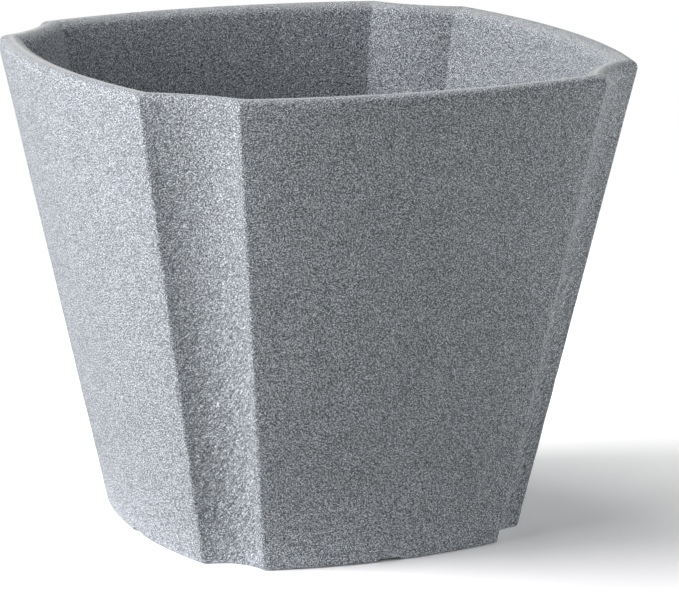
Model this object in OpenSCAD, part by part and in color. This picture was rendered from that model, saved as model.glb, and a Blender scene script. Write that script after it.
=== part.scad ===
// Square planter with four bowed panels and four hollow corner coves.
// The body is one double-walled moulding: an outer skin and an inner skin that meet over a rounded
// rim, with a sealed space between them. Four push-in drain plugs stand on its floor, and a small
// plug closes the moulding vent in its underside.
// Millimetres. The origin is the middle of the foot, +Z is up, and the front panel faces -Y.

/* [Overall] */
// Height from the ground to the crest of the rim
height = 295; // [220:1:420]
// Width across opposite panels at the shoulder of the rim
rim_w = 356; // [330:1:440]
// Width across opposite panels at the foot
foot_w = 232; // [212:1:262]

/* [Panels] */
// Chord of each bowed panel at the rim
rim_panel_w = 235; // [200:1:250]
// Chord of each bowed panel at the foot
foot_panel_w = 156; // [130:1:162]
// How far each panel bows out of its chord at the rim
rim_bow = 17; // [10:0.5:26]
// How far each panel bows out of its chord at the foot
foot_bow = 10.5; // [6:0.5:16]

/* [Corner coves] */
// Depth of each corner cove at the rim, below its chord
rim_cove_depth = 7; // [4:0.5:12]
// Depth of each corner cove at the foot, below its chord
foot_cove_depth = 5.4; // [2:0.2:8]
// Depth of each cove of the inner wall at the rim, below the outer cove's chord
rim_inner_cove_depth = 3.8; // [2:0.2:8]
// The same with the inner wall carried on down to the foot
foot_inner_cove_depth = 3; // [1.6:0.2:6]
// Rounding of the outer arris between a panel and a cove
arris_r = 3; // [1.5:0.5:6]
// Rounding of the inner crease between a panel and a cove
crease_r = 3; // [1.5:0.5:6]

/* [Double wall] */
// Thickness of the wall, measured level from skin to skin
wall_t = 16; // [13:0.5:24]
// Thickness of each moulded skin
skin_t = 4; // [2.5:0.25:5]
// Height of the rounded crown that closes the rim
crown_h = 6.5; // [6:0.5:10]

/* [Floor and foot] */
// Height of the planting floor above the ground
floor_h = 24; // [20:0.5:50]
// Rounding between the inner wall and the floor
floor_r = 12; // [6:1:20]
// Rounding of the outer edge of the foot
foot_r = 3.5; // [1:0.5:5]
// Width of the flat ring that the planter stands on
foot_ring_w = 16; // [10:1:24]
// Height of the recess inside the foot ring
recess_h = 3; // [2.5:0.25:6]

/* [Drainage] */
// Width of the drain notch under the middle of each panel
notch_w = 14; // [6:0.5:30]
// Height of the drain notch
notch_h = 2.2; // [1:0.1:2.4]
// Distance from the middle of the floor to each drain
drain_reach = 62; // [45:1:70]
// Bore of each drain
drain_d = 18; // [10:0.5:24]
// Wall of the tube that joins floor and underside round each drain
drain_tube_t = 5; // [3:0.5:8]

/* [Drain plugs] */
// Diameter of the plug's flange
flange_d = 30; // [26:0.5:34]
// Thickness of the plug's flange
flange_t = 3; // [2:0.25:5]
// Radial clearance between the plug and its bore
plug_clear = 0.08; // [0.02:0.01:0.1]
// Depth of the relief between the plug's sealing bands
band_relief = 0.9; // [0.4:0.1:1.5]
// Height of each sealing band
band_h = 3; // [2:0.25:4]
// Distance from the plug's foot up to the mouth of the drain's underside
plug_recess = 0.5; // [0:0.25:1.5]
// Width of the plug's pull tab
tab_w = 12; // [9:0.5:14]
// Height of the pull tab above the flange
tab_h = 12; // [11:0.5:16]
// Thickness of the pull tab
tab_t = 4.5; // [3:0.25:7]
// Finger hole through the pull tab
tab_hole_d = 5; // [3:0.25:6]

/* [Vent plug] */
// Bore of the moulding vent
vent_d = 10; // [6:0.5:14]
// Radial clearance of the vent plug's stem
vent_clear = 0.05; // [0.02:0.01:0.1]
// Width of the vent plug's cap beyond its bore
vent_lip = 3; // [2:0.25:6]
// Thickness of the vent plug's cap
vent_cap_t = 1.6; // [1:0.1:2]
// Height of the barb that holds the vent plug
barb_h = 3.5; // [2:0.25:5]
// How far the barb stands proud of the stem
barb_out = 0.7; // [0.4:0.1:1.5]

/* [Hidden] */

// Half widths and radii worked out from the sizes above
rim_half = rim_w / 2;
foot_half = foot_w / 2;
drain_r = drain_d / 2;
vent_r = vent_d / 2;
flange_r = flange_d / 2;

// Levels
shoulder_z = height - crown_h;
cavity_z = recess_h + skin_t;
under_floor_z = floor_h - skin_t;

// Roundness of the rim's crown: 2 is an ellipse, and more is squarer
crown_power = 2.2;
// Slope of the recess's rim and of the notches' sides, as run over rise
draft_run = 0.6;
// How far the hollow between the skins stays rounded at the foot
cavity_r = 6;
// How far a cutting solid runs past the face that it cuts
over = 1;
// Facets of true round shapes
round_fn = 96;

// Steps round one quarter of an outline: panel, arris and cove
skin_steps = [12, 3, 8];
cavity_steps = [8, 1, 6];
// Steps up a wall, round the foot, over the crown and round the floor
wall_steps = 4;
foot_steps = 3;
crown_steps = 12;
cavity_crown_steps = 6;
floor_steps = 4;

function mix(a, b, t) = a + (b - a) * t;
function unit(v) = v / norm(v);
function quarter_turn(p, k) = k == 0 ? p : quarter_turn([-p[1], p[0]], k - 1);

// The meeting point of two circles that lies towards the corner of the planter
function meet(p, r_p, c, r_c) =
    let(
        span = norm(c - p),
        along = (r_p * r_p - r_c * r_c + span * span) / (2 * span),
        off = sqrt(max(0, r_p * r_p - along * along)),
        u = (c - p) / span
    )
    p + along * u + off * [u[1], -u[0]];

// Points on a round stretch, from angle a to angle b, both ends included
function stretch(c, r, a, b, steps) =
    [for (i = [0:steps]) c + r * [cos(mix(a, b, i / steps)), sin(mix(a, b, i / steps))]];

// One quarter of the plan outline at height z, drawn in by e: the front panel and the cove on its right
function quarter(z, e, steps) =
    let(
        t = z / shoulder_z,
        a = mix(foot_panel_w, rim_panel_w, t) / 2,
        bow = mix(foot_bow, rim_bow, t),
        b = mix(foot_half, rim_half, t) - bow,
        inward = min(1, e / wall_t),
        dip = mix(
            mix(foot_cove_depth, rim_cove_depth, t),
            mix(foot_inner_cove_depth, rim_inner_cove_depth, t),
            inward
        ),
        panel_r = (a * a + bow * bow) / (2 * bow),
        panel_c = [0, panel_r - b - bow],
        half_chord = (b - a) / sqrt(2),
        cove_r = (half_chord * half_chord + dip * dip) / (2 * dip),
        cove_c = [1, -1] * ((a + b) / 2 + (cove_r - dip) / sqrt(2)),
        corner_r = mix(arris_r, crease_r, inward),
        corner_c = meet(panel_c, panel_r - e - corner_r, cove_c, cove_r + e + corner_r),
        out_p = unit(corner_c - panel_c),
        out_c = unit(cove_c - corner_c),
        from = atan2(out_p[1], out_p[0]),
        to = atan2(out_c[1], out_c[0]),
        first = stretch(corner_c, corner_r, from, to, steps[1]),
        second = stretch([-corner_c[1], -corner_c[0]], corner_r, -90 - to, -90 - from, steps[1])
    )
    concat(
        stretch(panel_c, panel_r - e, -180 - from, from, steps[0]),
        [for (i = [1:1:steps[1] - 1]) first[i]],
        stretch(cove_c, cove_r + e, to + 180, 90 - to, steps[2]),
        [for (i = [1:1:steps[1] - 1]) second[i]]
    );

// The whole outline at height z, drawn in by e
function ring(z, e, steps) =
    let(part = quarter(z, e, steps))
    [for (k = [0:3]) for (p = part) let(q = quarter_turn(p, k)) [q[0], q[1], z]];

// Heights and insets round the rim's crown, from its outer shoulder to its inner one
function crown(width, inset, rise, steps) =
    [for (i = [0:steps])
        let(
            c = cos(180 * i / steps),
            s = sin(180 * i / steps),
            flat = 2 / crown_power
        )
        [
            shoulder_z + rise * pow(max(0, s), flat),
            inset + width / 2 * (1 - sign(c) * pow(abs(c), flat))
        ]
    ];

// Heights and insets from the middle of the underside, up the outside, over the rim and down inside
skin_path = concat(
    [
        [recess_h, foot_ring_w + draft_run * recess_h],
        [0, foot_ring_w]
    ],
    [for (i = [0:foot_steps])
        foot_r * [1 - cos(90 * i / foot_steps), 1 - sin(90 * i / foot_steps)]],
    [for (i = [1:wall_steps - 1]) [mix(foot_r, shoulder_z, i / wall_steps), 0]],
    crown(wall_t, 0, crown_h, crown_steps),
    [for (i = [1:wall_steps - 1]) [mix(shoulder_z, floor_h + floor_r, i / wall_steps), wall_t]],
    [for (i = [0:floor_steps])
        [floor_h, wall_t] + floor_r * [1 - sin(90 * i / floor_steps), 1 - cos(90 * i / floor_steps)]]
);

// The same for the sealed space between the two skins
cavity_path = concat(
    [
        [cavity_z, skin_t + cavity_r],
        [cavity_z + cavity_r, skin_t]
    ],
    [for (i = [1:wall_steps - 1]) [mix(cavity_z + cavity_r, shoulder_z, i / wall_steps), skin_t]],
    crown(wall_t - 2 * skin_t, skin_t, crown_h - skin_t, cavity_crown_steps),
    [for (i = [1:wall_steps - 1])
        [mix(shoulder_z, under_floor_z + floor_r, i / wall_steps), wall_t - skin_t]],
    [
        [under_floor_z + floor_r, wall_t - skin_t],
        [under_floor_z, wall_t - skin_t + floor_r]
    ]
);

// A closed skin through the rings of a path, with a fan across its first and its last ring
module loft(path, steps) {
    rings = [for (p = path) ring(p[0], p[1], steps)];
    count = len(rings[0]);
    last = len(rings) - 1;
    centres = len(rings) * count;
    points = concat(
        [for (r = rings) for (p = r) p],
        [[0, 0, path[0][0]], [0, 0, path[last][0]]]
    );
    sides = [for (j = [0:last - 1]) for (i = [0:count - 1]) for (half = [0, 1])
        let(
            n = (i + 1) % count,
            low = j * count,
            high = low + count
        )
        half == 0 ? [low + i, high + i, high + n] : [low + i, high + n, low + n]
    ];
    first_fan = [for (i = [0:count - 1]) [centres, i, (i + 1) % count]];
    last_fan = [for (i = [0:count - 1])
        [last * count + i, centres + 1, last * count + (i + 1) % count]];
    polyhedron(points, concat(sides, first_fan, last_fan));
}

// Puts its child at each of the four drains
module at_drains() {
    for (k = [0:3]) rotate(90 * k) translate([0, -drain_reach, 0]) children();
}

// A channel under the foot ring, wider at the ground
module notch() {
    outer = foot_half + over;
    inner = foot_half - foot_ring_w - draft_run * recess_h - foot_bow;
    flare = draft_run * (notch_h + over);
    translate([0, -inner, -over])
        rotate([90, 0, 0])
            linear_extrude(outer - inner)
                polygon([
                    [-notch_w / 2 - flare, 0],
                    [notch_w / 2 + flare, 0],
                    [notch_w / 2, notch_h + over],
                    [-notch_w / 2, notch_h + over]
                ]);
}

module planter_body() {
    color([0.53, 0.55, 0.56])
        difference() {
            loft(skin_path, skin_steps);
            difference() {
                loft(cavity_path, cavity_steps);
                at_drains()
                    translate([0, 0, cavity_z - over])
                        cylinder(
                            h = under_floor_z - cavity_z + 2 * over,
                            r = drain_r + drain_tube_t,
                            $fn = round_fn
                        );
            }
            at_drains()
                cylinder(h = floor_h + over, r = drain_r, $fn = round_fn);
            cylinder(h = cavity_z + over, r = vent_r, $fn = round_fn);
            for (k = [0:3]) rotate(90 * k) notch();
        }
}

// A rubber plug: a flange on the floor, a banded shank in the drain and a tab to pull it by
module drain_plug() {
    shank_r = drain_r - plug_clear;
    foot_z = recess_h + plug_recess;
    lead = band_relief;
    edge = flange_t / 3;
    top_z = floor_h + flange_t;
    eye_z = top_z + tab_h - tab_w / 2;
    rotate_extrude($fn = round_fn)
        polygon([
            [0, foot_z],
            [shank_r - lead, foot_z],
            [shank_r, foot_z + lead],
            [shank_r, foot_z + band_h],
            [shank_r - band_relief, foot_z + band_h + band_relief],
            [shank_r - band_relief, floor_h - band_h - band_relief],
            [shank_r, floor_h - band_h],
            [shank_r, floor_h],
            [flange_r, floor_h],
            [flange_r, top_z - edge],
            [flange_r - edge, top_z],
            [0, top_z]
        ]);
    difference() {
        union() {
            translate([-tab_w / 2, -tab_t / 2, top_z - over])
                cube([tab_w, tab_t, eye_z - top_z + over]);
            translate([0, tab_t / 2, eye_z])
                rotate([90, 0, 0])
                    cylinder(h = tab_t, r = tab_w / 2, $fn = round_fn);
        }
        translate([0, tab_t / 2 + over, eye_z])
            rotate([90, 0, 0])
                cylinder(h = tab_t + 2 * over, r = tab_hole_d / 2, $fn = round_fn);
        translate([-tab_w, -tab_t, foot_z])
            cube([2 * tab_w, 2 * tab_t, top_z - over - foot_z]);
    }
}

// One drain plug at the panel k quarter turns from the front
module plug_at(k) {
    color([0.1, 0.1, 0.1])
        rotate(90 * k) translate([0, -drain_reach, 0]) drain_plug();
}

module drain_plug_front() plug_at(0);
module drain_plug_right() plug_at(1);
module drain_plug_back() plug_at(2);
module drain_plug_left() plug_at(3);

// A cap under the moulding vent, held by a barb inside the double wall
module vent_plug() {
    stem_r = vent_r - vent_clear;
    edge = vent_cap_t / 2;
    color([0.16, 0.17, 0.18])
        rotate_extrude($fn = round_fn)
            polygon([
                [0, recess_h - vent_cap_t],
                [vent_r + vent_lip - edge, recess_h - vent_cap_t],
                [vent_r + vent_lip, recess_h - vent_cap_t + edge],
                [vent_r + vent_lip, recess_h],
                [stem_r, recess_h],
                [stem_r, cavity_z + vent_clear],
                [stem_r + barb_out, cavity_z + vent_clear],
                [stem_r - barb_out, cavity_z + barb_h],
                [0, cavity_z + barb_h]
            ]);
}

planter_body();
drain_plug_front();
drain_plug_right();
drain_plug_back();
drain_plug_left();
vent_plug();
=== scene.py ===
"""Looks of the square planter: a granite-speckled moulding, its drain plugs and its vent plug."""

import math

import bpy
import numpy as np
from bpy.props import FloatProperty, FloatVectorProperty, PointerProperty
from mathutils import Matrix, Vector, geometry, noise


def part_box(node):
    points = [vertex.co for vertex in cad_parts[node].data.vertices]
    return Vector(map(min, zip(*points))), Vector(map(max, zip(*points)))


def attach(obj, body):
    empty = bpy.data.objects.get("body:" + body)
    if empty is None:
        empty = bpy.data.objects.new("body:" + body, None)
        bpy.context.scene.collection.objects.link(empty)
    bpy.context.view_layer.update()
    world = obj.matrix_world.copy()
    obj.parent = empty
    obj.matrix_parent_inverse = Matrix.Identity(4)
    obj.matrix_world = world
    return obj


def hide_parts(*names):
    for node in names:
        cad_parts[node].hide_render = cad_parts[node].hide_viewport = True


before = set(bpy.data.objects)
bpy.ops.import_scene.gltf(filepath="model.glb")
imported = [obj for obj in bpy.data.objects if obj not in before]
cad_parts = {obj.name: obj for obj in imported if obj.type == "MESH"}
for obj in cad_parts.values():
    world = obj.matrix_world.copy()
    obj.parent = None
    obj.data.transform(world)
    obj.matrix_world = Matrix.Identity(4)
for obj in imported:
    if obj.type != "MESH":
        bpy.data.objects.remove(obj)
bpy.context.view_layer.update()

bl_info = {
    "name": "Square Planter",
    "version": (1, 0, 0),
    "blender": (4, 5, 0),
    "location": "3D Viewport > Sidebar > Planter",
    "description": "Builds a double-walled square planter and its drain plugs",
    "category": "Add Mesh",
}

BODY_NODE = "planter_body"
BODY_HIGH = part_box(BODY_NODE)[1]
PLUG_SIDES = ("front", "right", "back", "left")
WHITE = (1.0, 1.0, 1.0, 1.0)
# All lengths are in metres
MM = 0.001

# Steps round the outline, along the wall, round a hole, over a pull tab and round a corner
PANEL_STEPS = 32
ARRIS_STEPS = 5
COVE_STEPS = 46
OUTER_ROWS = 176
INNER_ROWS = 40
CROWN_ROWS = 22
FOOT_ROWS = 5
FLOOR_ROWS = 7
HOLE_STEPS = 64
TAB_STEPS = 32
EASE_STEPS = 4
# Least gap between an even point of a panel and a notch's edge, in steps of the panel
NOTCH_GAP = 0.4
# Spacing of the points inside a flat face
FLAT_GRID = 0.008
# Angle above which an edge is shaded sharp
SHARP_EDGE = math.radians(38.0)

# Roundness of the rim's crown, and slope of the recess's rim and of the notches' sides
CROWN_POWER = 2.2
DRAFT = 0.6
# Shares of the height between which the visible coves' sink fades out
SINK_FADE = (0.8, 0.97)
# Most of a straight stretch that the rounding at one of its ends may take
EASE_SHARE = 0.45
# Rounding of the drains, the drain plugs, the vent plug and the pull tabs
DRAIN_EASE = 0.0006
PLUG_EASE = 0.0006
VENT_EASE = 0.0004
TAB_EDGE = 0.0007
# How far the hollow behind the vent reaches past it, sideways and up
POCKET_SIDE = 0.003
POCKET_RISE = 0.006
# Dish round a pull tab, its radii and depth, and the radius of the plug's middle
DISH_RADII = (0.0105, 0.0095)
DISH_DEPTH = 0.0004
PLUG_MIDDLE = 0.0012
# How deep a pull tab's root lies in its flange
TAB_ROOT = 0.0012
# Dimple in the vent plug's cap, its radii and depth
DIMPLE_RADII = (0.0010, 0.0016)
DIMPLE_DEPTH = 0.0004

# Slow waves of the skin: strength and size of the long and the short ones
WAVES = ((1.0, 0.045), (0.5, 0.019))
# How far the waves' middle lies below the smooth skin, which keeps their crests near it
WAVE_SINK = 0.6
# Size of the lumps low on the panels
LUMP = 0.009
# Hammering of the coves: strength, length and width of its coarse and its fine ridges
HAMMERING = ((1.1, 0.009, 0.0038), (0.7, 0.0055, 0.0026))
# Steps of its noise from layer to layer, and from cove to cove
LAYER_STEP = 7.3
COVE_STEP = 3.1
# Share of a cove's width over which its texture sets in from each arris
COVE_EDGE = 0.08
# Where the texture sets in, down from the rim's shoulder and up from the ground
RIM_FADE = (0.004, 0.03)
FOOT_FADE = (0.003, 0.012)
# Shares of the height over which lumps and ridges get weaker, and what is left of them above
LUMPS_FADE = (0.25, 0.7)
LUMPS_LEFT = 0.25
RIDGES_FADE = (0.3, 0.9)
RIDGES_LEFT = 0.5
# Parting ridge: how far below the rim's shoulder it runs, and its width
PARTING_DROP = 0.0035
PARTING_WIDTH = 0.0007

# Plain land of the rim, in shares of the wall from outside: where it starts as moulded and where
# rubbed, the width of that edge and where it ends, and then how plain it is as moulded
LAND_START = (0.3, 0.02)
LAND_EDGE = 0.18
LAND_END = (0.86, 1.0)
LAND_KEPT = 0.7
# Headings at which the land is rubbed wide, and the reach of each, in radians
RUBBED = ((math.radians(-45.0), 0.14), (math.radians(160.0), 0.34))
# Middle and width of the painted highlight along the rim's crest, in shares of the wall, and how
# pale it is
CREST_HIGHLIGHT = (0.54, 0.09)
CREST_HIGHLIGHT_SHARE = 0.75
# Heading of the corner where the crest carries its painted highlight, and the cosines over which
# it sets in
HIGHLIGHT_HEADING = math.radians(-135.0)
HIGHLIGHT_REACH = (-0.5, 0.1)

# How far the grain's noise strays from a half before it is at its darkest or palest
GRAIN_SPREAD = 0.16
# Turn of the grain's noise, so that no flat face lies along its lattice
GRAIN_TURN = (0.45, 0.7, 0.25)
# Bumps to each grain of the colour
PEBBLES = 0.85
# Slant of the coves' ridges from level, and their length and width
RIDGE_SLANT = math.radians(50.0)
RIDGE_LENGTH = 0.0038
RIDGE_WIDTH = 0.00105
# Noises of the finishes, in grains to the metre
CLOUD_SCALE = 34.0
PATCH_SCALE = 90.0
DUST_SCALE = 420.0
PORE_SCALE = 1500.0
GRIT_SCALE = 1900.0
# Heights of the rubber's pores and of the vent plug's grit
PORE_RISE = 0.00004
GRIT_RISE = 0.00003
# Stretches of a noise or a mark: the two numbers it runs between, and the two it becomes
CLOUD_TONE = (0.3, 0.7, 0.96, 1.04)
# Painted shade and highlight of the coves' ridges
RIDGE_SHADE = (0.3, 0.7, 0.52, 1.5)
PLAIN_SHARE = (0.36, 0.6, 0.2, 0.88)
COVE_CONTRAST = (0.0, 1.0, 1.0, 0.85)
COVE_MIDDLE = (0.0, 1.0, 0.5, 0.545)
PLAIN_QUIET = (0.0, 1.0, 1.0, 0.15)

# Width of the sensor that the lens is given for, in millimetres, and what the camera can see
SENSOR = 36.0
CLIP = (0.05, 60.0)
# Lamps: strength as a share of the key's, azimuth with 0 at -Y and 90 at -X, and elevation, and
# then the spread of a sun, in degrees, or the distance and width of a panel
LAMPS = (
    ("key", 1.0, 103.0, 32.0, 30.0),
    ("key_panel", 1.35, 80.0, 15.0, 0.8, 0.6),
    ("back_panel", 0.82, 155.0, 65.0, 1.4, 0.9),
    ("back", 0.126, 180.0, 50.0, 45.0),
    ("right_panel", 0.58, 300.0, 8.0, 1.2, 0.9),
    ("side_panel", 0.34, 275.0, 3.0, 1.2, 0.9),
    ("front_panel", 0.062, 0.0, 20.0, 1.4, 0.9),
)
TINTED = ("key", "key_panel")
# Height that the panel lamps face, and reach of the floor each way
PANEL_AIM = 0.15
FLOOR_REACH = 30.0
# The floor shows light and shade up to the first distance, and plain white from the second on
SHADED_FLOOR = (0.5, 1.1)
# It lights the foot as it shows up to the first, and as its plain colour from the second on
FOOT_FLOOR = (0.13, 0.175)
# How many times as bright as a white one the near floor is
FLOOR_GAIN = 1.37


def length(name, default, about):
    """A size in metres, with its default given in millimetres."""
    return FloatProperty(
        name=name, description=about, default=default * MM, min=0.0, precision=4, unit="LENGTH"
    )


def share(name, default, about):
    """A plain number from 0 to 1."""
    return FloatProperty(name=name, description=about, default=default, min=0.0, max=1.0)


def strength(name, default, about):
    """The strength of a light."""
    return FloatProperty(name=name, description=about, default=default, min=0.0)


def angle(name, default, about):
    """An angle in radians."""
    return FloatProperty(name=name, description=about, default=default, subtype="ANGLE")


def paint(name, default, about):
    """A colour without alpha, in linear light."""
    return FloatVectorProperty(
        name=name, description=about, default=default, subtype="COLOR", size=3, min=0.0, max=1.0
    )


class PlanterShape(bpy.types.PropertyGroup):
    """Sizes of the moulding and of the texture on its outer skin."""

    height: length("Height", BODY_HIGH.z / MM, "From the ground to the crest of the rim")
    rim_width: length("Rim width", 356.0, "Across opposite panels at the rim's shoulder")
    foot_width: length("Foot width", 232.0, "Across opposite panels at the foot")
    rim_panel: length("Rim panel", 235.0, "Chord of each panel at the rim")
    foot_panel: length("Foot panel", 156.0, "Chord of each panel at the foot")
    rim_bow: length("Rim bow", 17.0, "How far a panel bows out of its chord at the rim")
    foot_bow: length("Foot bow", 10.5, "How far a panel bows out of its chord at the foot")
    rim_cove: length("Rim cove", 7.0, "Depth of a corner cove at the rim")
    foot_cove: length("Foot cove", 5.4, "Depth of a corner cove at the foot")
    rim_inner_cove: length("Inner rim cove", 3.8, "Depth of the inner wall's cove at the rim")
    foot_inner_cove: length("Inner foot cove", 3.0, "Depth of the inner wall's cove at the foot")
    arris: length("Arris radius", 3.0, "Rounding between a panel and a cove outside")
    crease: length("Crease radius", 3.0, "Rounding between a panel and a cove inside")
    wall: length("Wall", 16.0, "Thickness of the double wall")
    skin: length("Skin", 4.0, "Thickness of each moulded skin")
    crown: length("Crown", 6.5, "Height of the rounded rim")
    floor_height: length("Floor height", 24.0, "Planting floor above the ground")
    floor_round: length("Floor rounding", 12.0, "Rounding between inner wall and floor")
    ring: length("Foot ring", 16.0, "Width of the flat ring under the foot")
    recess: length("Recess", 3.0, "Height of the recess inside the foot ring")
    notch_width: length("Notch width", 14.0, "Width of the drain notch under each panel")
    notch_height: length("Notch height", 2.2, "Height of the drain notch")
    drain_reach: length("Drain reach", 62.0, "From the middle of the floor to each drain")
    drain_bore: length("Drain bore", 18.0, "Diameter of each drain")
    vent_bore: length("Vent bore", 10.0, "Diameter of the moulding vent")
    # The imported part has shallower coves, a rounder foot and none of the texture
    cove_sink: length("Cove sink", 2.3, "How much deeper the visible coves are below the rim")
    foot_round: length("Foot rounding", 1.5, "Rounding of the outer edge of the foot")
    hammer: length("Hammering", 0.6, "Height of the hammered texture in the coves")
    lumps: length("Lumps", 0.22, "Height of the small lumps low on the panels")
    waviness: length("Waviness", 0.12, "Height of the slow waves of a moulded skin")
    parting: length("Parting line", 0.16, "Height of the fine ridge below the rim")


class PlugShape(bpy.types.PropertyGroup):
    """Sizes of the drain plugs and the vent plug."""

    flange: length("Flange", 30.0, "Diameter of a drain plug's flange")
    flange_thick: length("Flange thickness", 3.0, "Thickness of the flange")
    clearance: length("Clearance", 0.08, "Radial clearance between plug and drain")
    relief: length("Band relief", 0.9, "Depth of the groove between the sealing bands")
    band: length("Band height", 3.0, "Height of each sealing band")
    foot_gap: length("Foot gap", 0.5, "From the recess up to the plug's foot")
    tab_width: length("Tab width", 12.0, "Width of the pull tab")
    tab_height: length("Tab height", 12.0, "Height of the pull tab above the flange")
    tab_thick: length("Tab thickness", 4.5, "Thickness of the pull tab")
    eye: length("Eye", 5.0, "Diameter of the finger hole")
    vent_lip: length("Vent lip", 3.0, "Width of the vent plug's cap beyond its bore")
    vent_cap: length("Vent cap", 1.6, "Thickness of the vent plug's cap")
    vent_clearance: length("Vent clearance", 0.05, "Radial clearance of the vent plug's stem")
    barb: length("Barb", 0.7, "How far the vent plug's barb stands proud")
    barb_height: length("Barb height", 3.5, "Height of the vent plug's barb")


class PlanterFinish(bpy.types.PropertyGroup):
    """Colours and grain of the granite-look plastic, the rubber and the vent plug."""

    grey: paint("Grey", (0.179, 0.193, 0.208), "Ground colour of the moulded plastic")
    pale: paint("Pale grain", (0.83, 0.885, 0.95), "Colour of the palest grains")
    dark: paint("Dark grain", (0.010, 0.0115, 0.0135), "Colour of the darkest grains")
    rim_grey: paint("Rim grey", (0.252, 0.257, 0.256), "Plainer, warmer grey of the rim")
    # Colour of the painted highlight line along the rim's crest
    crest_highlight_grey: paint("Crest grey", (0.5, 0.505, 0.5), "Pale line along the crest of the rim")
    grain: length("Grain", 0.50, "Size of one grain")
    grain_rise: length("Grain rise", 0.5, "Height of the grain's bump")
    ridge_rise: length("Ridge rise", 0.22, "Height of the bump of the coves' ridges")
    roughness: share("Roughness", 0.7, "Roughness of the plastic")
    rim_roughness: share("Rim roughness", 0.42, "Roughness of the rim's plain patches")
    rubber: paint("Rubber", (0.022, 0.022, 0.023), "Colour of the drain plugs")
    rubber_roughness: share("Rubber roughness", 0.58, "Roughness of the rubber")
    vent: paint("Vent plug", (0.055, 0.06, 0.065), "Colour of the vent plug")
    vent_roughness: share("Vent roughness", 0.45, "Roughness of the vent plug")


class PlanterStudio(bpy.types.PropertyGroup):
    """Camera, lamps and floor."""

    reach: length("Camera reach", 2515.3, "Level distance from the planter to the camera")
    rise: length("Camera rise", 702.8, "Height of the camera")
    bearing: angle("Bearing", -0.4202, "Direction of the camera round the planter")
    swing: angle("Swing", -0.0068, "How far the camera looks aside from the planter's axis")
    pitch: angle("Pitch", 0.2225, "How far the camera looks down")
    roll: angle("Roll", 0.0065, "Roll of the camera")
    lens: FloatProperty(
        name="Lens", description="Focal length in millimetres", default=221.19, min=1.0
    )
    key: strength("Key", 2.1, "Strength of the key lamp, which the other lamps follow")
    key_tint: paint("Key tint", (0.99, 0.978, 1.0), "Colour of the key lamps")
    fill: strength("Fill", 0.0, "Strength of the world")
    floor: paint("Floor", (0.465, 0.475, 0.455), "Colour of the floor")


def steps(count):
    """Even shares from 0 to 1."""
    return np.arange(count + 1) / count


def mix(a, b, t):
    """The value a share t of the way from a to b."""
    return a + (b - a) * t


def smooth(x, low, high):
    """0 below low, 1 above high, and a smooth step between them."""
    t = np.clip((np.asarray(x, float) - low) / (high - low), 0.0, 1.0)
    return t * t * (3.0 - 2.0 * t)


def fading(x, stretch, left):
    """1 below a stretch, what is left above it, and a smooth fall between them."""
    return mix(1.0, left, smooth(x, *stretch))


def bell(x, middle, width):
    """1 in the middle, falling to nothing a few widths away."""
    return np.exp(-(((x - middle) / width) ** 2))


def turns_from(headings, heading):
    """The smallest turns from one heading to others, in radians."""
    return np.angle(np.exp(1j * (headings - heading)))


def direction(heading):
    """The plan direction of a heading."""
    return np.array([math.cos(heading), math.sin(heading)])


def meet(a, r_a, b, r_b):
    """The meeting point of two circles that lies towards the corner of the planter."""
    span = np.linalg.norm(b - a)
    along = (r_a * r_a - r_b * r_b + span * span) / (2.0 * span)
    off = math.sqrt(max(0.0, r_a * r_a - along * along))
    u = (b - a) / span
    return a + along * u + off * np.array([u[1], -u[0]])


def arc(centre, radius, start, end, shares):
    """Points on a round stretch, at those shares of the way from angle start to angle end."""
    angles = mix(start, end, np.asarray(shares, float))
    return centre + radius * np.stack([np.cos(angles), np.sin(angles)], axis=1)


def panel_shares(shape):
    """Shares along a panel at which the outline has a point, with the notch's edges among them."""
    half = shape.foot_panel / 2.0
    radius = (half * half + shape.foot_bow**2) / (2.0 * shape.foot_bow)
    reach = math.asin(half / radius)
    edges = []
    for x in (shape.notch_width / 2.0, shape.notch_width / 2.0 + DRAFT * shape.notch_height):
        at = math.asin(x / radius) / reach
        edges += [(1.0 - at) / 2.0, (1.0 + at) / 2.0]
    gap = NOTCH_GAP / PANEL_STEPS
    kept = [s for s in steps(PANEL_STEPS) if min(abs(s - e) for e in edges) > gap]
    return np.array(sorted(kept + edges))


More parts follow.
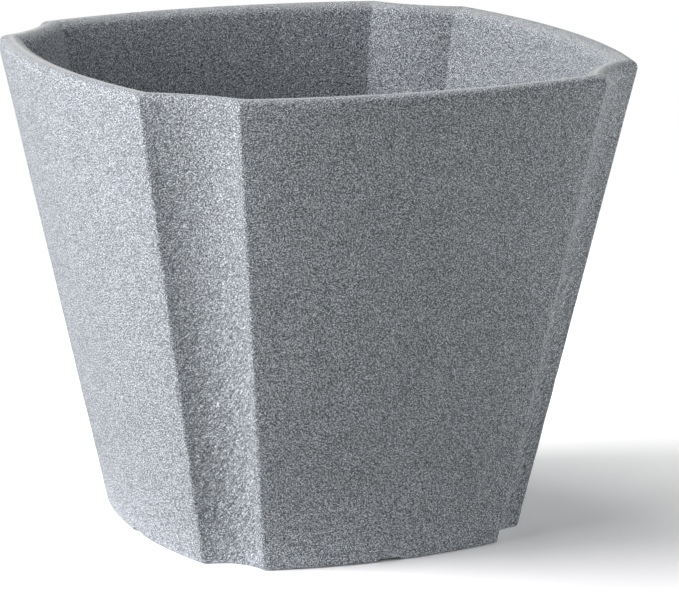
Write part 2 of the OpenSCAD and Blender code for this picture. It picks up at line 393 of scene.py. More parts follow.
def quarter(shape, z, inset, shares):
    """A quarter of the outline at height z, drawn in by inset: a panel and the cove after it."""
    t = z / (shape.height - shape.crown)
    a = mix(shape.foot_panel, shape.rim_panel, t) / 2.0
    bow = mix(shape.foot_bow, shape.rim_bow, t)
    b = mix(shape.foot_width, shape.rim_width, t) / 2.0 - bow
    inward = min(1.0, inset / shape.wall)
    sink = shape.cove_sink * fading(z / shape.height, SINK_FADE, 0.0)
    outer_dip = mix(shape.foot_cove, shape.rim_cove, t) + sink
    inner_dip = mix(shape.foot_inner_cove, shape.rim_inner_cove, t)
    dip = mix(outer_dip, inner_dip, inward)
    panel_r = (a * a + bow * bow) / (2.0 * bow)
    panel_c = np.array([0.0, panel_r - b - bow])
    half_chord = (b - a) / math.sqrt(2.0)
    cove_r = (half_chord**2 + dip * dip) / (2.0 * dip)
    cove_c = np.array([1.0, -1.0]) * ((a + b) / 2.0 + (cove_r - dip) / math.sqrt(2.0))
    corner_r = mix(shape.arris, shape.crease, inward)
    corner_c = meet(panel_c, panel_r - inset - corner_r, cove_c, cove_r + inset + corner_r)
    out_p = corner_c - panel_c
    out_c = cove_c - corner_c
    start = math.atan2(out_p[1], out_p[0])
    stop = math.atan2(out_c[1], out_c[0])
    bends = steps(ARRIS_STEPS)[1:-1]
    mirrored = np.array([-corner_c[1], -corner_c[0]])
    hollow = steps(COVE_STEPS)
    return np.concatenate(
        [
            arc(panel_c, panel_r - inset, -math.pi - start, start, shares),
            arc(corner_c, corner_r, start, stop, bends),
            arc(cove_c, cove_r + inset, stop + math.pi, math.pi / 2.0 - stop, hollow),
            arc(mirrored, corner_r, -math.pi / 2.0 - stop, -math.pi / 2.0 - start, bends),
        ]
    )


def turned(points, k):
    """Plan points turned by k quarter turns about the planter's axis."""
    for _ in range(k):
        points = np.stack([-points[:, 1], points[:, 0]], axis=1)
    return points


def outline(shape, z, inset, shares):
    """The whole outline at height z, drawn in by inset."""
    part = quarter(shape, z, inset, shares)
    return np.concatenate([turned(part, k) for k in range(4)])


def crown_path(shape):
    """Heights and insets over the rim, from its outer shoulder to its inner one."""
    angles = np.pi * steps(CROWN_ROWS)
    c, s = np.cos(angles), np.sin(angles).clip(0.0)
    flat = 2.0 / CROWN_POWER
    z = shape.height - shape.crown + shape.crown * s**flat
    inset = shape.wall / 2.0 * (1.0 - np.sign(c) * np.abs(c) ** flat)
    return np.stack([z, inset], axis=1)


def skin_path(shape):
    """Heights and insets from the recess, up the outside, over the rim and down to the floor."""
    shoulder = shape.height - shape.crown
    bend = np.pi / 2.0 * steps(FOOT_ROWS)
    foot = shape.foot_round * np.stack([1.0 - np.cos(bend), 1.0 - np.sin(bend)], axis=1)
    up = steps(OUTER_ROWS)[1:-1]
    outer = np.stack([mix(shape.foot_round, shoulder, up), 0.0 * up], axis=1)
    floor_top = shape.floor_height + shape.floor_round
    down = steps(INNER_ROWS)[1:-1]
    inner = np.stack([mix(shoulder, floor_top, down), 0.0 * down + shape.wall], axis=1)
    turn = np.pi / 2.0 * steps(FLOOR_ROWS)
    base = np.array([shape.floor_height, shape.wall])
    low = base + shape.floor_round * np.stack([1.0 - np.sin(turn), 1.0 - np.cos(turn)], axis=1)
    slope = [[z, shape.ring + DRAFT * z] for z in (shape.recess, shape.recess / 2.0, 0.0)]
    recess = np.array(slope + [[0.0, (shape.ring + shape.foot_round) / 2.0]])
    return np.concatenate([recess, foot, outer, crown_path(shape), inner, low])


def cove_marks(shares):
    """How far each point round the outline belongs to a cove."""
    bends = ARRIS_STEPS - 1
    hollow = steps(COVE_STEPS)
    edge = smooth(np.minimum(hollow, 1.0 - hollow), 0.0, COVE_EDGE)
    return np.tile(np.concatenate([np.zeros(len(shares) + bends), edge, np.zeros(bends)]), 4)


def cove_places(plans, shares):
    """How far along the nearest cove each point lies, and the number of that cove."""
    rows, count = plans.shape[:2]
    span = count // 4
    middle = len(shares) + ARRIS_STEPS - 1 + COVE_STEPS // 2
    along = np.zeros((rows, count))
    corner = np.zeros(count)
    for k in range(4):
        at = (k * span + middle - span // 2 + np.arange(span)) % count
        along[:, at] = plans[:, at] @ direction(math.pi / 4.0 + k * math.pi / 2.0)
        corner[at] = k
    return along, corner


def ripples(along, up, cove):
    """A hammered skin's height, about -1 to 1, for a place in metres along and up one cove."""
    a = along * math.cos(RIDGE_SLANT) + up * math.sin(RIDGE_SLANT)
    b = -along * math.sin(RIDGE_SLANT) + up * math.cos(RIDGE_SLANT)
    height = 0.0
    for layer, (weight, long, wide) in enumerate(HAMMERING):
        step = COVE_STEP * cove + LAYER_STEP * layer
        height += weight * noise.noise(Vector((a / long, b / wide, step)))
    return height


def slow_waves(point):
    """The slow waves of a moulded skin, about -1 to 1."""
    return sum(weight * noise.noise(Vector(point) / size) for weight, size in WAVES)


def ridge_shares(shape, path):
    """How strong the coves' ridges are, for each row of the skin."""
    return fading(path[:, 0] / shape.height, RIDGES_FADE, RIDGES_LEFT)


def skin_relief(shape, path, plans, cove, along, corner):
    """How far each point of the outer skin stands proud of the smooth moulding."""
    up = path[:, 0]
    shoulder = shape.height - shape.crown
    outside = (path[:, 1] == 0.0) & (up < shoulder)
    textured = smooth(shoulder - up, *RIM_FADE) * smooth(up, *FOOT_FADE)
    lumpy = fading(up / shape.height, LUMPS_FADE, LUMPS_LEFT)
    ridged = ridge_shares(shape, path)
    rise = np.zeros(along.shape)
    for row in np.flatnonzero(outside):
        for column in range(len(cove)):
            place = (*plans[row, column], up[row])
            lift = shape.waviness * (slow_waves(place) - WAVE_SINK)
            lift += shape.lumps * lumpy[row] * noise.noise(Vector(place) / LUMP)
            if cove[column] > 0.0:
                hammered = ripples(along[row, column], up[row], corner[column])
                lift += shape.hammer * cove[column] * ridged[row] * hammered
            rise[row, column] = lift * textured[row]
    parting = bell(up, shoulder - PARTING_DROP, PARTING_WIDTH) * outside
    return rise + shape.parting * parting[:, None]


def notched_heights(shape, path, plans):
    """Height of each point, with the foot lifted to the notches' ceilings and sloped sides."""
    rows, count = plans.shape[:2]
    z = np.repeat(path[:, :1], count, axis=1)
    for k in range(4):
        spun = turned(plans.reshape(-1, 2), (4 - k) % 4).reshape(rows, count, 2)
        away = np.abs(spun[..., 0]) - shape.notch_width / 2.0
        ceiling = np.clip(shape.notch_height - away.clip(0.0) / DRAFT, 0.0, shape.notch_height)
        under = (spun[..., 1] < -shape.foot_width / 4.0) & (path[:, :1] < shape.recess)
        z = np.where(under, np.maximum(z, ceiling), z)
    return z


def rim_wear_and_highlight(shape, path, plan):
    """How far each point belongs to the rim's plain land, and to the painted highlight along its
    crest.
    """
    headings = np.arctan2(plan[:, 1], plan[:, 0])
    across = path[:, 1:] / shape.wall
    on_rim = path[:, :1] >= shape.height - shape.crown
    rubbed = sum(bell(turns_from(headings, at), 0.0, reach) for at, reach in RUBBED)
    rubbed = rubbed.clip(0.0, 1.0)
    start = mix(*LAND_START, rubbed)
    land = smooth(across, start, start + LAND_EDGE) * fading(across, LAND_END, 0.0) * on_rim
    # The crest's painted highlight is kept to the corner round one heading
    highlit_side = smooth(np.cos(headings - HIGHLIGHT_HEADING), *HIGHLIGHT_REACH)
    return land * mix(LAND_KEPT, 1.0, rubbed), bell(across, *CREST_HIGHLIGHT) * on_rim * highlit_side


def circle(centre, radius, z):
    """Points round a level circle."""
    angles = math.tau * steps(HOLE_STEPS)[:-1]
    x = centre[0] + radius * np.cos(angles)
    y = centre[1] + radius * np.sin(angles)
    return np.stack([x, y, np.full(HOLE_STEPS, z)], axis=1)


def within(rim, spot, margin):
    """True if a spot lies inside a star-shaped loop about the origin, by more than margin."""
    radius = np.linalg.norm(spot)
    if radius < margin:
        return True
    headings = np.arctan2(rim[:, 1], rim[:, 0])
    nearest = np.argsort(np.abs(turns_from(headings, math.atan2(spot[1], spot[0]))))[:2]
    return radius + margin < np.linalg.norm(rim[nearest], axis=1).min()


def level_normals(rings):
    """The level direction that each point of a stack of rings faces."""
    along = np.roll(rings, -1, axis=1) - np.roll(rings, 1, axis=1)
    facing = np.stack([along[..., 1], -along[..., 0]], axis=-1)
    return facing / np.linalg.norm(facing, axis=-1, keepdims=True)


def in_scene(name, data):
    """A new object in the scene."""
    item = bpy.data.objects.new(name, data)
    bpy.context.scene.collection.objects.link(item)
    return item


class MeshParts:
    """Gathers points and faces of one closed mesh."""

    def __init__(self):
        self.points = []
        self.faces = []

    def add(self, points):
        """Adds points and returns their numbers."""
        first = len(self.points)
        self.points += [tuple(p) for p in points]
        return list(range(first, len(self.points)))

    def bridge(self, low, high, flip=False):
        """Joins two closed loops of equal length with quads."""
        n = len(low)
        for i in range(n):
            j = (i + 1) % n
            quad = (low[i], low[j], high[j], high[i])
            self.faces.append(quad[::-1] if flip else quad)

    def stack(self, loops, flip=False):
        """Joins each loop to the next."""
        for near, far in zip(loops, loops[1:]):
            self.bridge(near, far, flip)

    def tube(self, centre, levels, flip=False):
        """Adds a circle at each (radius, height) level, joins them in turn and returns them."""
        loops = [self.add(circle(centre, radius, level)) for radius, level in levels]
        self.stack(loops, flip)
        return loops

    def disc(self, ring, flip=False):
        """Closes a loop with a fan about its middle."""
        middle = tuple(np.mean([self.points[i] for i in ring], axis=0))
        centre = self.add([middle])[0]
        for i in range(len(ring)):
            fan = (ring[i], ring[(i + 1) % len(ring)], centre)
            self.faces.append(fan[::-1] if flip else fan)

    def sheet(self, outer, holes, z, flip=False):
        """Fills the flat space between a loop and the holes in it with triangles, at height z."""
        loops = [outer] + holes
        numbers = [i for loop in loops for i in loop]
        flat = [Vector(self.points[i][:2]) for i in numbers]
        edges = []
        first = 0
        for loop in loops:
            count = len(loop)
            edges += [(first + i, first + (i + 1) % count) for i in range(count)]
            first += count
        rim = np.array([self.points[i][:2] for i in outer])
        rounds = []
        for hole in holes:
            spots = np.array([self.points[i][:2] for i in hole])
            middle = spots.mean(axis=0)
            rounds.append((middle, np.linalg.norm(spots[0] - middle)))
        reach = np.abs(rim).max()
        margin = FLAT_GRID / 2.0
        for x in np.arange(-reach, reach, FLAT_GRID):
            for y in np.arange(-reach, reach, FLAT_GRID):
                spot = np.array([x, y])
                clear = all(np.linalg.norm(spot - m) > r + margin for m, r in rounds)
                if clear and within(rim, spot, margin):
                    flat.append(Vector(spot))
        inside_only, close = 1, 1e-7
        found = geometry.delaunay_2d_cdt(flat, edges, [], inside_only, close)
        new_points, new_faces, sources = found[0], found[2], found[3]
        names = []
        for place, source in zip(new_points, sources):
            known = [s for s in source if s < len(numbers)]
            names.append(numbers[known[0]] if known else self.add([(place.x, place.y, z)])[0])
        for face in new_faces:
            middle = np.mean([new_points[i] for i in face], axis=0)
            # A face in a hole has its middle well within the hole's round
            if any(np.linalg.norm(middle - m) < 0.98 * r for m, r in rounds):
                continue
            numbered = [names[i] for i in face]
            self.faces.append(numbered[::-1] if flip else numbered)

    def build(self, name):
        """The finished Blender object, smooth apart from its sharp edges."""
        mesh = bpy.data.meshes.new(name)
        mesh.from_pydata(self.points, [], self.faces)
        mesh.validate()
        mesh.update()
        mesh.shade_smooth()
        mesh.set_sharp_from_angle(angle=SHARP_EDGE)
        return in_scene(name, mesh)


def store(mesh, name, values):
    """Stores a number or a place for each of a mesh's first points, for its material to read."""
    kind, key = ("FLOAT", "value") if values.ndim == 1 else ("FLOAT_VECTOR", "vector")
    padded = np.zeros((len(mesh.vertices), *values.shape[1:]), np.float32)
    padded[: len(values)] = values
    mesh.attributes.new(name, kind, "POINT").data.foreach_set(key, padded.ravel())


def drain_centre(shape, k):
    """The plan middle of one of the floor's drains."""
    return turned(np.array([[0.0, -shape.drain_reach]]), k)[0]


def add_drains(parts, shape):
    """Adds the drains from the floor to the recess, and returns their upper and lower loops."""
    bore = shape.drain_bore / 2.0
    levels = [
        (bore + DRAIN_EASE, shape.floor_height),
        (bore, shape.floor_height - DRAIN_EASE),
        (bore, (shape.floor_height + shape.recess) / 2.0),
        (bore, shape.recess + DRAIN_EASE),
        (bore + DRAIN_EASE, shape.recess),
    ]
    tubes = [parts.tube(drain_centre(shape, k), levels) for k in range(4)]
    return [loops[0] for loops in tubes], [loops[-1] for loops in tubes]


def add_vent(parts, shape):
    """Adds the moulding vent, open to the hollow between the skins, and returns its mouth."""
    vent = shape.vent_bore / 2.0
    pocket = vent + POCKET_SIDE
    top = shape.recess + shape.skin
    levels = [(vent, shape.recess), (vent, top), (pocket, top), (pocket, top + POCKET_RISE)]
    loops = parts.tube((0.0, 0.0), levels, flip=True)
    parts.disc(loops[-1], flip=True)
    return loops[0]


def build_body(shape):
    """The moulding: both skins, the rim, the floor with its drains and the underside."""
    shares = panel_shares(shape)
    path = skin_path(shape)
    plans = np.stack([outline(shape, z, inset, shares) for z, inset in path])
    cove = cove_marks(shares)
    along, corner = cove_places(plans, shares)
    rise = skin_relief(shape, path, plans, cove, along, corner)
    plans = plans + level_normals(plans) * rise[..., None]
    z = notched_heights(shape, path, plans)

    parts = MeshParts()
    rings = [parts.add(ring) for ring in np.concatenate([plans, z[..., None]], axis=-1)]
    parts.stack(rings)
    mouths, feet = add_drains(parts, shape)
    parts.sheet(rings[-1], mouths, shape.floor_height)
    vent = add_vent(parts, shape)
    parts.sheet(rings[0], feet + [vent], shape.recess, flip=True)
    piece = parts.build("granite_body")

    # crest marks the painted highlight along the rim's crest
    land, crest = rim_wear_and_highlight(shape, path, plans[0])
    outer = path[:, 1:] < shape.wall / 2.0
    ridged = cove * ridge_shares(shape, path)[:, None] * outer * (1.0 - land)
    places = np.stack(np.broadcast_arrays(along, z, corner), axis=-1)
    for name, values in (("rim", land), ("crest", crest), ("cove", ridged)):
        store(piece.data, name, values.ravel())
    store(piece.data, "cove_place", places.reshape(-1, 3))
    return piece


def eased(profile, radius):
    """A profile of (radius, height, round) points, with the marked corners rounded."""
    points = []
    for i, (r, h, soft) in enumerate(profile):
        here = np.array([r, h])
        if not soft or i in (0, len(profile) - 1):
            points.append((r, h))
            continue
        back = np.array(profile[i - 1][:2]) - here
        ahead = np.array(profile[i + 1][:2]) - here
        behind, before = np.linalg.norm(back), np.linalg.norm(ahead)
        reach = min(radius, EASE_SHARE * behind, EASE_SHARE * before)
        a = here + back / behind * reach
        b = here + ahead / before * reach
        for t in steps(EASE_STEPS):
            points.append(tuple((1 - t) ** 2 * a + 2 * t * (1 - t) * here + t * t * b))
    return points


def lathe(parts, profile, centre):
    """Turns (radius, height) points about an upright axis, and closes both ends."""
    loops = parts.tube(centre, profile)
    parts.disc(loops[0], flip=True)
    parts.disc(loops[-1])


def tab_outline(plug, inset, base, eye_level):
    """Outline of the pull tab, drawn in by inset: up one side, over the round top and down."""
    half = plug.tab_width / 2.0 - inset
    over = math.pi * steps(TAB_STEPS)
    top = [(half * math.cos(a), eye_level + half * math.sin(a)) for a in over]
    rise = eye_level - base
    right = [(half, base + rise * k / 3.0) for k in range(3)]
    left = [(-x, y) for x, y in right[::-1]]
    return right + top + left + [(0.0, base)]


def add_tab(parts, plug, centre, spin, base, eye_level):
    """The pull tab with its eye, its edges rounded."""
    half = plug.tab_thick / 2.0
    bevel = 0.3 * TAB_EDGE
    layers = [(TAB_EDGE, -half), (bevel, -half + bevel), (0.0, -half + TAB_EDGE)]
    layers += [(inset, -y) for inset, y in layers[::-1]]
    turn = Matrix.Rotation(spin, 4, "Z")

    def loop(spots, y):
        return parts.add(turn @ Vector((x, y, z)) + Vector((*centre, 0.0)) for x, z in spots)

    shell = [loop(tab_outline(plug, inset, base, eye_level), y) for inset, y in layers]
    start = math.atan2(base - eye_level, plug.tab_width / 2.0)
    angles = []
    for x, z in tab_outline(plug, 0.0, base, eye_level):
        at = math.atan2(z - eye_level, x)
        angles.append(at if at >= start - 1e-9 else at + math.tau)
    tunnel = []
    for inset, y in layers:
        r = plug.eye / 2.0 + inset
        tunnel.append(loop([(r * math.cos(a), eye_level + r * math.sin(a)) for a in angles], y))
    parts.stack(shell)
    parts.stack(tunnel, flip=True)
    parts.bridge(tunnel[0], shell[0])
    parts.bridge(shell[-1], tunnel[-1])


def build_plug(shape, plug, k):
    """A drain plug: a flange, a banded shank and a pull tab."""
    centre = drain_centre(shape, k)
    rim = plug.flange / 2.0
    shank = shape.drain_bore / 2.0 - plug.clearance
    groove = shank - plug.relief
    foot = shape.recess + plug.foot_gap
    seat = shape.floor_height
    top = seat + plug.flange_thick
    edge = plug.flange_thick / 3.0
    dish, dish_floor = DISH_RADII
    profile = [
        (PLUG_MIDDLE, foot, False),
        (groove, foot, True),
        (shank, foot + plug.relief, True),
        (shank, foot + plug.band, True),
        (groove, foot + plug.band + plug.relief, True),
        (groove, seat - plug.band - plug.relief, True),
        (shank, seat - plug.band, True),
        (shank, seat, False),
        (rim, seat, True),
        (rim, top - edge, True),
        (rim - edge, top, True),
        (dish, top, True),
        (dish_floor, top - DISH_DEPTH, True),
        (PLUG_MIDDLE, top - DISH_DEPTH, False),
    ]
    parts = MeshParts()
    lathe(parts, eased(profile, PLUG_EASE), centre)
    eye_level = top + plug.tab_height - plug.tab_width / 2.0
    add_tab(parts, plug, centre, k * math.pi / 2.0, top - TAB_ROOT, eye_level)
    return parts.build("drain_plug_rubber_" + PLUG_SIDES[k])


def build_vent_plug(shape, plug):
    """The vent's plug: a dimpled cap, a stem and a barb."""
    bore = shape.vent_bore / 2.0
    lip = bore + plug.vent_lip
    stem = bore - plug.vent_clearance
    under = shape.recess - plug.vent_cap
    hold = shape.recess + shape.skin + plug.vent_clearance
    tip = shape.recess + shape.skin + plug.barb_height
    dimple, dimple_edge = DIMPLE_RADII
    profile = [
        (dimple, under + DIMPLE_DEPTH, False),
        (dimple_edge, under, True),
        (lip - plug.vent_cap / 2.0, under, True),
        (lip, under + plug.vent_cap / 2.0, True),
        (lip, shape.recess, False),
        (stem, shape.recess, False),
        (stem, hold, False),
        (stem + plug.barb, hold, True),
        (stem - plug.barb, tip, True),
        (dimple, tip, False),
    ]
    parts = MeshParts()
    lathe(parts, eased(profile, VENT_EASE), (0.0, 0.0))
    return parts.build("vent_plug_cap")


class Nodes:
    """A short way to write the nodes of a material or of the world."""

    def __init__(self, block, output="OutputMaterial"):
        block.use_nodes = True
        self.block = block
        self.tree = block.node_tree
        self.tree.nodes.clear()
        self.output = self.add(output)

    def add(self, kind, inputs=None, **settings):
        """Adds a node, with its settings and its inputs, each a value or another node's output."""
        node = self.tree.nodes.new("ShaderNode" + kind)
        for key, value in settings.items():
            setattr(node, key, value)
        for key, value in (inputs or {}).items():
            self.feed(node.inputs[key], value)
        return node

    def feed(self, socket, value):
        """Links an output to a socket, or sets the socket's own value."""
        if isinstance(value, bpy.types.NodeSocket):
            self.tree.links.new(value, socket)
        else:
            socket.default_value = value

    def shader(self, kind, inputs):
        """Adds a shader."""
        return self.add(kind, inputs).outputs[0]

    def surface(self, kind, inputs):
        """Adds the shader that the output takes."""
        self.feed(self.output.inputs["Surface"], self.shader(kind, inputs))

    def math(self, operation, a, b, clamp=False):
        """A sum or product of two numbers."""
        node = self.add("Math", {0: a, 1: b}, operation=operation, use_clamp=clamp)
        return node.outputs[0]

    def places(self):
        """Places on the object, in metres."""
        return self.add("TexCoord").outputs["Object"]

    def number(self, name):
        """A number stored on the mesh's points."""
        return self.add("Attribute", attribute_name=name).outputs["Fac"]

    def noise(self, places, scale, detail, **inputs):
        """A noise from 0 to 1, by its grains to the metre and the fineness of its detail."""
        inputs.update({"Vector": places, "Scale": scale, "Detail": detail})
        return self.add("TexNoise", inputs).outputs["Fac"]

    def bump(self, height, distance, **inputs):
        """The normal of a bumpy surface, by its heights and what a height of 1 measures."""
        inputs.update({"Strength": 1.0, "Distance": distance, "Height": height})
        return self.add("Bump", inputs).outputs["Normal"]

    def ramp(self, value, stops):
        """Turns a number into a colour, by (place, colour) stops."""
        node = self.add("ValToRGB", {"Fac": value})
        elements = node.color_ramp.elements
        while len(elements) < len(stops):
            elements.new(0.5)
        for element, (at, colour) in zip(elements, stops):
            element.position = at
            element.color = (*colour, 1.0)
        return node.outputs["Color"]

    def remap(self, value, low, high, to_low, to_high):
        """Stretches a number from one pair of limits onto another, and stops at them."""
        limits = {"From Min": low, "From Max": high, "To Min": to_low, "To Max": to_high}
        return self.add("MapRange", {"Value": value, **limits}).outputs["Result"]

    def blend(self, share_of, first, second, kind="MIX"):
        """Mixes two colours by a share."""
        node = self.add("Mix", data_type="RGBA", blend_type=kind)
        self.feed(node.inputs["Factor"], share_of)
        for key, value in (("A", first), ("B", second)):
            socket = next(s for s in node.inputs if s.name == key and s.type == "RGBA")
            value = (*value, 1.0) if isinstance(value, tuple) else value
            self.feed(socket, value)
        return next(s for s in node.outputs if s.type == "RGBA")

    def shade(self, colour, tone):
        """A colour times a number."""
        grey = self.add("CombineColor", {0: tone, 1: tone, 2: tone})
        return self.blend(1.0, colour, grey.outputs[0], "MULTIPLY")

    def seen(self):
        """1 for what the camera, a gloss or a clear surface sees, and 0 for what lights others."""
        rays = self.add("LightPath").outputs
        total = rays["Is Camera Ray"]
        for name in ("Is Glossy Ray", "Is Transmission Ray"):
            total = self.math("ADD", total, rays[name], clamp=True)
        return total


def granite_plastic(finish):
    """Moulded plastic with a salt-and-pepper grain, plainer on the rim, ridged in the coves with
    painted shade, and a painted highlight along the crest.
    """
    nodes = Nodes(bpy.data.materials.new("granite_plastic"))
    tilted = nodes.add("Mapping", {"Vector": nodes.places(), "Rotation": GRAIN_TURN})
    places = tilted.outputs["Vector"]
    cove = nodes.number("cove")
    scale = 1.0 / finish.grain

    # Grains from dark to pale, calmer and a little paler in the coves
    grains = nodes.noise(places, scale, 0.0)
    tone = nodes.remap(grains, 0.5 - GRAIN_SPREAD, 0.5 + GRAIN_SPREAD, -0.5, 0.5)
    tone = nodes.math("MULTIPLY", tone, nodes.remap(cove, *COVE_CONTRAST))
    tone = nodes.math("ADD", tone, nodes.remap(cove, *COVE_MIDDLE))
    grey, pale, dark = (np.array(colour) for colour in (finish.grey, finish.pale, finish.dark))
    half_dark = mix(dark, grey, 0.45)
    half_pale = mix(grey, pale, 0.26)
    stops = [(0.0, dark), (0.25, half_dark), (0.5, grey), (0.8, half_pale), (1.0, pale)]
    clouds = nodes.noise(places, CLOUD_SCALE, 3.0, Roughness=0.55)
    speckled = nodes.shade(nodes.ramp(tone, stops), nodes.remap(clouds, *CLOUD_TONE))

    # Slanted ridges of the coves, with painted shade between them and painted highlight on them
    placed = nodes.add("Attribute", attribute_name="cove_place").outputs["Vector"]
    slant, size = (0.0, 0.0, RIDGE_SLANT), (RIDGE_LENGTH, RIDGE_WIDTH, 1.0)
    ridge_inputs = {"Vector": placed, "Rotation": slant, "Scale": size}
    slanted = nodes.add("Mapping", ridge_inputs, vector_type="TEXTURE")
    ridges = nodes.noise(slanted.outputs["Vector"], 1.0, 1.0, Distortion=0.3)
    ridged = nodes.shade(speckled, nodes.remap(ridges, *RIDGE_SHADE))
    colour = nodes.blend(cove, speckled, ridged)

    # Plain patches of the rim's land, and a painted highlight along its crest
    patches = nodes.remap(nodes.noise(places, PATCH_SCALE, 2.0), *PLAIN_SHARE)
    plain = nodes.math("MULTIPLY", nodes.number("rim"), patches)
    crest = nodes.math("MULTIPLY", nodes.number("crest"), CREST_HIGHLIGHT_SHARE)
    colour = nodes.blend(plain, colour, tuple(finish.rim_grey))
    colour = nodes.blend(crest, colour, tuple(finish.crest_highlight_grey))

    # Bumps of the grain all over, and of the ridges in the coves
    pebbles = nodes.noise(places, scale * PEBBLES, 1.5, Roughness=0.6)
    pebbles = nodes.math("MULTIPLY", pebbles, nodes.remap(plain, *PLAIN_QUIET))
    grain_bump = nodes.bump(pebbles, finish.grain_rise)
    ridge_height = nodes.math("MULTIPLY", ridges, cove)
    nodes.surface(
        "BsdfPrincipled",
        {
            "Base Color": colour,
            "Roughness": nodes.remap(plain, 0.0, 1.0, finish.roughness, finish.rim_roughness),
            "IOR": 1.5,
            "Specular IOR Level": 0.5,
            "Normal": nodes.bump(ridge_height, finish.ridge_rise, Normal=grain_bump),
        },
    )
    return nodes.block


def rubber(finish):
    """Matte black rubber, a little dusty."""
    nodes = Nodes(bpy.data.materials.new("plug_rubber"))
    places = nodes.places()
    dust = nodes.noise(places, DUST_SCALE, 4.0, Roughness=0.6)
    clean = np.array(finish.rubber)
    dusty = 2.6 * clean + 0.01
    smoother, rougher = finish.rubber_roughness - 0.08, finish.rubber_roughness + 0.12
    nodes.surface(
        "BsdfPrincipled",
        {
            "Base Color": nodes.ramp(dust, [(0.35, clean), (0.72, dusty)]),
            "Roughness": nodes.remap(dust, 0.3, 0.7, smoother, rougher),
            "Specular IOR Level": 0.4,
            "Normal": nodes.bump(nodes.noise(places, PORE_SCALE, 2.0), PORE_RISE),
        },
    )
    return nodes.block


def vent_plastic(finish):
    """Dark plastic with a fine spark-eroded texture."""
    nodes = Nodes(bpy.data.materials.new("vent_plastic"))
    grit = nodes.noise(nodes.places(), GRIT_SCALE, 2.0)
    base = np.array(finish.vent)
    smoother, rougher = finish.vent_roughness - 0.05, finish.vent_roughness + 0.08
    nodes.surface(
        "BsdfPrincipled",
        {
            "Base Color": nodes.ramp(grit, [(0.3, base), (0.7, 1.35 * base)]),
            "Roughness": nodes.remap(grit, 0.3, 0.7, smoother, rougher),
            "Normal": nodes.bump(grit, GRIT_RISE),
        },
    )
    return nodes.block


def dress(piece, material, body, node):
    """Gives a piece its material and its body, and hides the imported part that it stands for."""
    piece.data.materials.append(material)
    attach(piece, body)
    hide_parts(node)


class PLANTER_OT_body(bpy.types.Operator):
    """Builds the granite-speckled moulding"""

    bl_idname = "planter.body"
    bl_label = "Moulded Body"

    def execute(self, context):
        piece = build_body(context.scene.planter_shape)
        material = granite_plastic(context.scene.planter_finish)
        dress(piece, material, "planter", BODY_NODE)
        return {"FINISHED"}


class PLANTER_OT_drain_plugs(bpy.types.Operator):
    """Builds the rubber drain plugs, each on its own body"""

    bl_idname = "planter.drain_plugs"
    bl_label = "Drain Plugs"

    def execute(self, context):
        scene = context.scene
        material = rubber(scene.planter_finish)
        for k, side in enumerate(PLUG_SIDES):
            piece = build_plug(scene.planter_shape, scene.planter_plugs, k)
            dress(piece, material, side + "_plug", "drain_plug_" + side)
        return {"FINISHED"}


class PLANTER_OT_vent_plug(bpy.types.Operator):
    """Builds the plug of the moulding vent in the underside"""

    bl_idname = "planter.vent_plug"
    bl_label = "Vent Plug"

    def execute(self, context):
        scene = context.scene
        piece = build_vent_plug(scene.planter_shape, scene.planter_plugs)
        material = vent_plastic(scene.planter_finish)
        dress(piece, material, "planter", "vent_plug")
        return {"FINISHED"}


def add_camera(studio):
    """The camera at the photograph's viewpoint."""
    data = bpy.data.cameras.new("camera")
    data.sensor_width = SENSOR
    data.lens = studio.lens
    data.clip_start, data.clip_end = CLIP
    camera = in_scene("camera", data)
    across = studio.reach * math.sin(studio.bearing)
    back = -studio.reach * math.cos(studio.bearing)
    yaw = studio.bearing + studio.swing
    level = Vector((-math.sin(yaw), math.cos(yaw), 0.0))
    ahead = level * math.cos(studio.pitch) - Vector((0.0, 0.0, math.sin(studio.pitch)))
    right = ahead.cross(Vector((0.0, 0.0, 1.0))).normalized()
    up = right.cross(ahead)
    c, s = math.cos(studio.roll), math.sin(studio.roll)
    columns = Matrix((c * right + s * up, c * up - s * right, -ahead)).transposed()
    place = Matrix.Translation((across, back, studio.rise))
    camera.matrix_world = place @ columns.to_4x4()
    bpy.context.scene.camera = camera


def add_lamp(name, energy, azimuth, elevation, size, tint):
    """A sun, or a square panel that is as bright at the planter as a sun of the same strength."""
    az, el = math.radians(azimuth), math.radians(elevation)
    way = Vector((-math.sin(az) * math.cos(el), -math.cos(az) * math.cos(el), math.sin(el)))
    lamp = in_scene(name, bpy.data.lights.new(name, "SUN" if len(size) == 1 else "AREA"))
    lamp.rotation_euler = way.to_track_quat("Z", "Y").to_euler()
    lamp.data.color = tint
    if len(size) == 1:
        lamp.data.energy = energy
        lamp.data.angle = math.radians(size[0])
        return
    reach, width = size
    lamp.data.energy = energy * math.pi * reach * reach
    lamp.data.shape = "SQUARE"
    lamp.data.size = width
    lamp.location = way * reach + Vector((0.0, 0.0, PANEL_AIM))
    lamp.visible_camera = False


def add_world(fill):
    """A white background for the camera, and a plain even fill for everything else."""
    nodes = Nodes(bpy.data.worlds.new("studio"), "OutputWorld")
    even = nodes.shader("Background", {"Color": WHITE, "Strength": fill})
    white = nodes.shader("Background", {"Color": WHITE, "Strength": 1.0})
    nodes.surface("MixShader", {0: nodes.seen(), 1: even, 2: white})
    bpy.context.scene.world = nodes.block


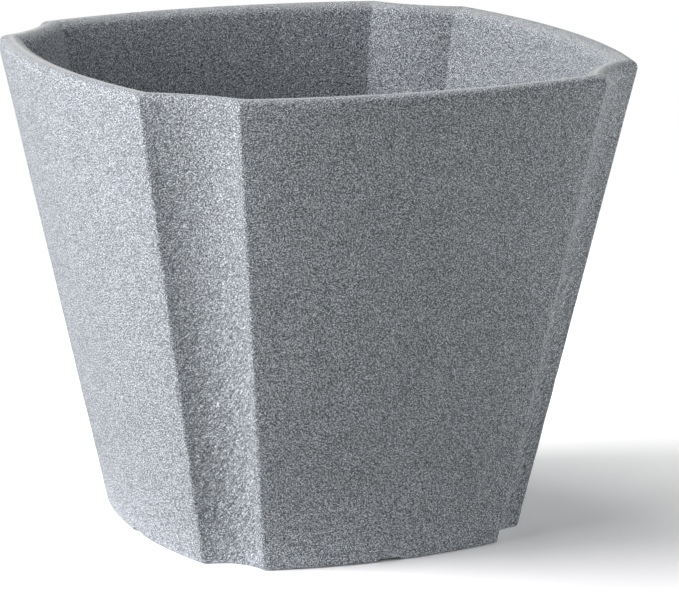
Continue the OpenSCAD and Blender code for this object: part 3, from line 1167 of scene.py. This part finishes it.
def add_floor(colour):
    """A pale floor that shows white where nothing shades it."""
    mesh = bpy.data.meshes.new("floor")
    far = FLOOR_REACH
    corners = [(-far, -far, 0.0), (far, -far, 0.0), (far, far, 0.0), (-far, far, 0.0)]
    mesh.from_pydata(corners, [], [(0, 1, 2, 3)])
    floor = in_scene("floor", mesh)
    nodes = Nodes(bpy.data.materials.new("pale_floor"))
    plain = nodes.shader("BsdfDiffuse", {"Color": (*colour, 1.0)})
    white = nodes.shader("BsdfDiffuse", {"Color": WHITE})
    extra = nodes.shader("BsdfDiffuse", {"Color": (*[FLOOR_GAIN - 1.0] * 3, 1.0)})
    near = nodes.shader("AddShader", {0: white, 1: extra})
    glow = nodes.shader("Emission", {"Color": WHITE, "Strength": 1.0})
    away = nodes.add("VectorMath", {0: nodes.places()}, operation="LENGTH").outputs["Value"]
    past_foot = nodes.remap(away, *FOOT_FLOOR, 0.0, 1.0)
    past_shade = nodes.remap(away, *SHADED_FLOOR, 0.0, 1.0)
    light = nodes.shader("MixShader", {0: past_foot, 1: near, 2: plain})
    look = nodes.shader("MixShader", {0: past_shade, 1: near, 2: glow})
    nodes.surface("MixShader", {0: nodes.seen(), 1: light, 2: look})
    mesh.materials.append(nodes.block)


class PLANTER_OT_stage(bpy.types.Operator):
    """Sets the camera, the lamps, the world and the floor"""

    bl_idname = "planter.stage"
    bl_label = "Studio"

    def execute(self, context):
        scene = context.scene
        studio = scene.planter_studio
        add_camera(studio)
        for name, share_of_key, azimuth, elevation, *size in LAMPS:
            tint = studio.key_tint if name in TINTED else WHITE[:3]
            add_lamp(name, share_of_key * studio.key, azimuth, elevation, size, tint)
        add_world(studio.fill)
        add_floor(tuple(studio.floor))
        scene.view_settings.view_transform = "Standard"
        return {"FINISHED"}


class PLANTER_PT_sidebar(bpy.types.Panel):
    """Lists the planter's pieces and their settings"""

    bl_label = "Square Planter"
    bl_idname = "PLANTER_PT_sidebar"
    bl_space_type = "VIEW_3D"
    bl_region_type = "UI"
    bl_category = "Planter"

    def draw(self, context):
        layout = self.layout
        for operator in OPERATORS:
            layout.operator(operator.bl_idname)
        for group in GROUPS:
            settings = getattr(context.scene, group)
            box = layout.box()
            for name in settings.__annotations__:
                box.prop(settings, name)


GROUPS = {
    "planter_shape": PlanterShape,
    "planter_plugs": PlugShape,
    "planter_finish": PlanterFinish,
    "planter_studio": PlanterStudio,
}
OPERATORS = (PLANTER_OT_body, PLANTER_OT_drain_plugs, PLANTER_OT_vent_plug, PLANTER_OT_stage)


def register():
    for kind in (*GROUPS.values(), *OPERATORS, PLANTER_PT_sidebar):
        bpy.utils.register_class(kind)
    for name, kind in GROUPS.items():
        setattr(bpy.types.Scene, name, PointerProperty(type=kind))


def unregister():
    for name in GROUPS:
        delattr(bpy.types.Scene, name)
    for kind in (PLANTER_PT_sidebar, *OPERATORS, *GROUPS.values()):
        bpy.utils.unregister_class(kind)


def main():
    register()
    bpy.ops.planter.body()
    bpy.ops.planter.drain_plugs()
    bpy.ops.planter.vent_plug()
    bpy.ops.planter.stage()
    bpy.context.view_layer.update()


if __name__ == "__main__":
    main()
